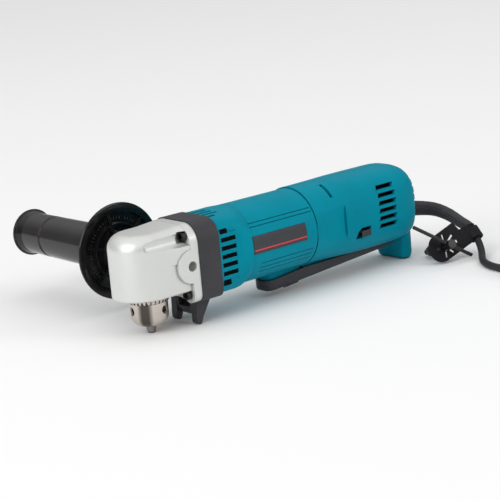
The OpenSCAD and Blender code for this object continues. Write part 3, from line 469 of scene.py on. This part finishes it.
CORD_D = 6.2
GUARD_ROUTE = [
    (277, 0, 40.5), (288, 0, 39.9), (297.4, -3, 38.6), (306.8, -9, 37.2), (312.4, -16.5, 35.2),
    (316.3, -26.5, 31.1), (316.3, -39.5, 26), (314.3, -52, 22.8),
]
GUARD_R = (7.6, 4.8)
CORD_ROUTE = [
    (314.3, -52, 22.8), (313.6, -58.5, 16.5), (310.8, -65.5, 10), (305, -72.5, 5.4), (297, -80, 3.4),
    (288.5, -89, 3.2), (282, -101, 3.2), (279, -117, 3.2), (278.5, -135, 3.5), (279, -152, 4),
]
COIL_AT = (322, -152)
COIL_TURNS, COIL_LAYERS, COIL_R, COIL_STEP, COIL_RISE, COIL_LOW = 10.25, 4, 34, 6.9, 6.9, 4
COIL_PER_LAYER = COIL_TURNS / COIL_LAYERS
COIL_SWEEP = COIL_PER_LAYER * COIL_STEP
COIL_OUT = COIL_R + COIL_SWEEP / 2
COIL_HIGH = COIL_LOW + (COIL_LAYERS - 1) * COIL_RISE
COIL_STEPS = 40
COIL_CLIMB = 0.5
TAIL_Y = COIL_AT[1] - COIL_OUT
TAIL_ROUTE = [
    (COIL_AT[0], TAIL_Y, COIL_HIGH), (337, TAIL_Y, COIL_HIGH - 1.5), (353, TAIL_Y, 17),
    (369, TAIL_Y, 11.5), (385, TAIL_Y, 10), (401, TAIL_Y, 10),
]
ROUTE_STEPS = 4


def curve_point(a, b, c, d, t):
    """A point between b and c on a smooth curve through four points."""
    square, cube = 2 * a - 5 * b + 4 * c - d, 3 * b - a - 3 * c + d
    return 0.5 * (2 * b + (c - a) * t + square * t ** 2 + cube * t ** 3)


def smooth_route(route):
    p = [Vector(q) for q in route]
    made = []
    for i in range(len(p) - 1):
        four = p[max(i - 1, 0)], p[i], p[i + 1], p[min(i + 2, len(p) - 1)]
        made += [curve_point(*four, k / ROUTE_STEPS) for k in range(ROUTE_STEPS)]
    return made + [p[-1]]


def soft_step(t):
    u = max(0, min(1, t))
    return u * u * (3 - 2 * u)


def coil_point(t):
    """The coil's line after t turns: layer on layer, inwards and outwards by turns."""
    layer, f = divmod(t / COIL_PER_LAYER, 1)
    r = COIL_OUT - COIL_SWEEP * (f if layer % 2 == 0 else 1 - f)
    climbs = [soft_step((t - k * COIL_PER_LAYER) / COIL_CLIMB + 0.5) for k in range(1, COIL_LAYERS)]
    z = COIL_LOW + COIL_RISE * sum(climbs)
    a = math.radians(180 + 360 * t)
    return Vector((COIL_AT[0] + r * math.cos(a), COIL_AT[1] + r * math.sin(a), z))


coil = [coil_point(i / COIL_STEPS) for i in range(1, int(COIL_TURNS * COIL_STEPS))]
free_line = smooth_route(GUARD_ROUTE + CORD_ROUTE[1:])
guard_end = ROUTE_STEPS * (len(GUARD_ROUTE) - 1)
lead_line = free_line[guard_end:] + coil + smooth_route(TAIL_ROUTE)
lead = tube("mains_lead", lead_line, CORD_D / 2, LOOKS["rubber"], "body")
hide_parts("cord", "cord_coil", "cord_tail")


# Thin line low on the bare name plate, on the plate's round face

STRIPE_X = (83.9, 139.6)
STRIPE_Z = (-1.9, -0.8)
STRIPE_R = (33.36, 33.45)
STRIPE_STEPS = 4
stripe_rise = (STRIPE_Z[1] - STRIPE_Z[0]) / STRIPE_STEPS
stripe_heights = [STRIPE_Z[0] + stripe_rise * i for i in range(STRIPE_STEPS + 1)]
stripe_around = [(STRIPE_R[1], z) for z in stripe_heights]
stripe_around += [(STRIPE_R[0], z) for z in reversed(stripe_heights)]


def stripe_ring(x):
    return [(x, -math.sqrt(r * r - z * z), MOTOR_Z + z) for r, z in stripe_around]


solid("plate_line", *prism([stripe_ring(x) for x in STRIPE_X]), RED, "body", "plate")


# Mould lines along the lead's guard

GUARD_LINE_R = 0.3
GUARD_LINE_TURNS = (28, 208)
GUARD_LINE_START = 2


def guard_offset(i, turn):
    """A point on the guard's surface, turned about its line."""
    p = free_line
    t = (p[min(i + 1, guard_end)] - p[max(i - 1, 0)]).normalized()
    u = t.cross(Vector((0, 0, 1))).normalized()
    v = u.cross(t)
    a = math.radians(turn)
    r = GUARD_R[0] + (GUARD_R[1] - GUARD_R[0]) * i / guard_end - GUARD_LINE_R / 2
    return p[i] + r * (math.cos(a) * u + math.sin(a) * v)


for k, turn in enumerate(GUARD_LINE_TURNS):
    line = [guard_offset(i, turn) for i in range(GUARD_LINE_START, guard_end)]
    tube(f"guard_line_{k + 1}", line, GUARD_LINE_R, GLOSS, "body")


# Small round mark of the mould on the head's shoulder

MARK_AT = Vector((-17.2, -8.4, AXIS_Z + 30.0))
MARK_OUT = Vector((-0.228, -0.140, 0.963))
MARK_R, MARK_LINE_R, MARK_STEPS = 1.3, 0.22, 28
mark_u = MARK_OUT.orthogonal().normalized()
mark_v = MARK_OUT.cross(mark_u)
mark_turns = [math.radians(360 * i / MARK_STEPS) for i in range(MARK_STEPS + 1)]
mark = [MARK_AT + MARK_R * (math.cos(a) * mark_u + math.sin(a) * mark_v) for a in mark_turns]
tube("cast_mark", mark, MARK_LINE_R, LOOKS["cast"], "body")


# Round lower edge of the chuck, over the cone of its body, clear of the jaws

RIM_R = (6.2, 14.88)
RIM_Z = (-44.6, -37.2)
RIM_POWER = 2 / 1.8
RIM_STEPS, RIM_AROUND = 16, 96
RIM_INNER = [(-44.6, 5.9), (-43.2, 5.9), (-43.2, 8), (-42.6, 8.3), (-38.6, 14.1), (-37.2, 14.4)]
rim_turns = [math.radians(90 * i / RIM_STEPS) for i in range(RIM_STEPS + 1)]
rim_outer = [(RIM_Z[1] + (RIM_Z[0] - RIM_Z[1]) * math.sin(u) ** RIM_POWER,
              RIM_R[0] + (RIM_R[1] - RIM_R[0]) * max(0, math.cos(u)) ** RIM_POWER) for u in rim_turns]
rim_mesh = turned_ring(rim_outer + RIM_INNER, RIM_AROUND)
chuck_rim = solid("chuck_rim", *rim_mesh, LOOKS["chrome"], "spindle", "chrome")
chuck_rim.modifiers.new("smooth", "NODES").node_group = SMOOTH


# Scale marks on the hand guard's recessed face, with a gap at each spoke

HANDLE_X = 25
TICK_R = (26.2, 28.4)
TICK_Y = (70.25, 70.6)
TICK_HALF = 0.3
TICK_COUNT, TICK_STEP, TICK_START, TICKS_PER_GAP = 60, 6, 15, 10
TICK_CORNERS = [(TICK_R[i], s) for i, s in ((0, -1), (0, 1), (1, 1), (1, -1))]


def tick(i):
    a = math.radians(TICK_START + TICK_STEP * i)
    out, side = Vector((math.cos(a), 0, math.sin(a))), Vector((-math.sin(a), 0, math.cos(a)))
    flat = [r * out + s * TICK_HALF * side for r, s in TICK_CORNERS]
    return prism([[Vector((HANDLE_X, y, AXIS_Z)) + corner for corner in flat] for y in TICK_Y])


ticks = [tick(i) for i in range(TICK_COUNT) if i % TICKS_PER_GAP]
solid("guard_scale", *joined(ticks), LOOKS["dark"], "body", "dark")


# Painted shade: dark sheets in the air slots of the motor housing, where the outer slots are short

VENT_X, VENT_LONG, VENT_SHORT = 54.6, 69.4, 61.9
VENT_STEP, VENT_HALF, VENT_DROP = 6.8, 1.7, 0.6
VENT_SIDE, SIDE_ROWS = (27.2, 27.7), 3
VENT_TOP, TOP_ROWS = (28.6, 29.1), 2


def vent_x(i, rows):
    return VENT_X, VENT_SHORT if abs(i) == rows else VENT_LONG


def vent_width(middle):
    return middle - VENT_HALF, middle + VENT_HALF


def side_vent(i, side):
    return plate(vent_x(i, SIDE_ROWS), [side * y for y in VENT_SIDE], vent_width(i * VENT_STEP - VENT_DROP))


def top_vent(i):
    return plate(vent_x(i, TOP_ROWS), vent_width(i * VENT_STEP), VENT_TOP)


vents = [side_vent(i, side) for side in (-1, 1) for i in range(-SIDE_ROWS, SIDE_ROWS + 1)]
vents += [top_vent(i) for i in range(-TOP_ROWS, TOP_ROWS + 1)]
solid("motor_slot_shade", *joined(vents), SLOT_SHADE, "body", "rubber")


# Painted shade: flat dark sheets behind the air slots of the rear housing

REAR_X, REAR_Z = (222, 252), (-15, 24)
REAR_Y = {"near": -21, "far": 21}
REAR_HALF, REAR_EDGE = 0.3, 0.1
for side, y in REAR_Y.items():
    rounded_box(f"rear_slot_shade_{side}", REAR_X, (y - REAR_HALF, y + REAR_HALF), REAR_Z, REAR_EDGE,
                SLOT_SHADE, "body")


# Painted shade: curved dark sheets behind the two slits of the rear housing's shoulder, inside its wall

SLIT_X = (174.2, 182)
SLIT_R = (26.6, 27.1)
SLIT_START = {"far": 35, "near": 103}
SLIT_STEP, SLIT_RINGS = 3, 15
SLIT_CORNERS = [(SLIT_X[i], SLIT_R[j]) for i, j in ((0, 0), (1, 0), (1, 1), (0, 1))]


def slit_ring(turn):
    a = math.radians(turn)
    return [(x, r * math.cos(a), MOTOR_Z + r * math.sin(a)) for x, r in SLIT_CORNERS]


for side, start in SLIT_START.items():
    rings = [slit_ring(start + SLIT_STEP * i) for i in range(SLIT_RINGS)]
    solid(f"shoulder_slot_shade_{side}", *prism(rings), SLOT_SHADE, "body", "rubber")


# Reversing knob with its stem

KNOB_X, KNOB_Y, KNOB_Z, KNOB_EDGE = (202.8, 213), (-33, -30.9), (-15.2, -9.8), 0.9
STEM_X, STEM_Y, STEM_Z, STEM_EDGE = (206.5, 210.5), (-31.5, -10.5), (-13.6, -11), 0.3
knob = rounded_box("reverse_knob", KNOB_X, KNOB_Y, KNOB_Z, KNOB_EDGE, LOOKS["dark"], "reverse")
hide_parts("reverse_lever")
rounded_box("reverse_stem", STEM_X, STEM_Y, STEM_Z, STEM_EDGE, LOOKS["dark"], "reverse")


# Soft boxes, aimed at the part

LAMP_AIM = Vector((0.12, 0.0, 0.05))


def lamp(name, place, size, watts):
    data = bpy.data.lights.new(name, "AREA")
    data.shape = "RECTANGLE"
    data.size, data.size_y = size
    data.energy = watts
    obj = link(bpy.data.objects.new(name, data))
    obj.location = place
    obj.rotation_euler = (LAMP_AIM - Vector(place)).to_track_quat("-Z", "Y").to_euler()


lamp("softbox_left", place=(-3.55, -0.4, 2.05), size=(2.25, 2.75), watts=82)
lamp("softbox_right", place=(2.05, -3.75, 1.9), size=(1.5, 2.5), watts=38)


# Sky of the studio: dark at the horizon, bright overhead

SKY = {"From Min": 0.25, "From Max": 0.85, "To Min": 0.3, "To Max": 0.97}
world = bpy.data.worlds.new("studio")
scene.world = world
world.use_nodes = True
tree = world.node_tree
back = tree.nodes["Background"]
back.inputs["Color"].default_value = (1, 1, 1, 1)
sky_way = tree.nodes.new("ShaderNodeTexCoord")
sky_split = tree.nodes.new("ShaderNodeSeparateXYZ")
sky = tree.nodes.new("ShaderNodeMapRange")
sky.interpolation_type = "SMOOTHSTEP"
for key, value in SKY.items():
    sky.inputs[key].default_value = value
tree.links.new(sky_way.outputs["Generated"], sky_split.inputs[0])
tree.links.new(sky_split.outputs["Z"], sky.inputs["Value"])
tree.links.new(sky.outputs["Result"], back.inputs["Strength"])


# Pale floor, just below the part

FLOOR_HALF = 9.0
FLOOR_Z = -0.0002
FLOOR_GREY = 0.93
floor_corners = [(FLOOR_HALF * x, FLOOR_HALF * y, FLOOR_Z) for x, y in ((-1, -1), (1, -1), (1, 1), (-1, 1))]
floor_mesh = bpy.data.meshes.new("floor")
floor_mesh.from_pydata(floor_corners, [], [(0, 1, 2, 3)])
floor = link(bpy.data.objects.new("floor", floor_mesh))
floor_look = bpy.data.materials.new("pale_floor")
floor_look.use_nodes = True
shader = floor_look.node_tree.nodes["Principled BSDF"]
shader.inputs["Base Color"].default_value = (FLOOR_GREY, FLOOR_GREY, FLOOR_GREY, 1)
shader.inputs["Roughness"].default_value = 0.9
shader.inputs["Specular IOR Level"].default_value = 0.0
floor_mesh.materials.append(floor_look)

scene.view_settings.view_transform = "Standard"
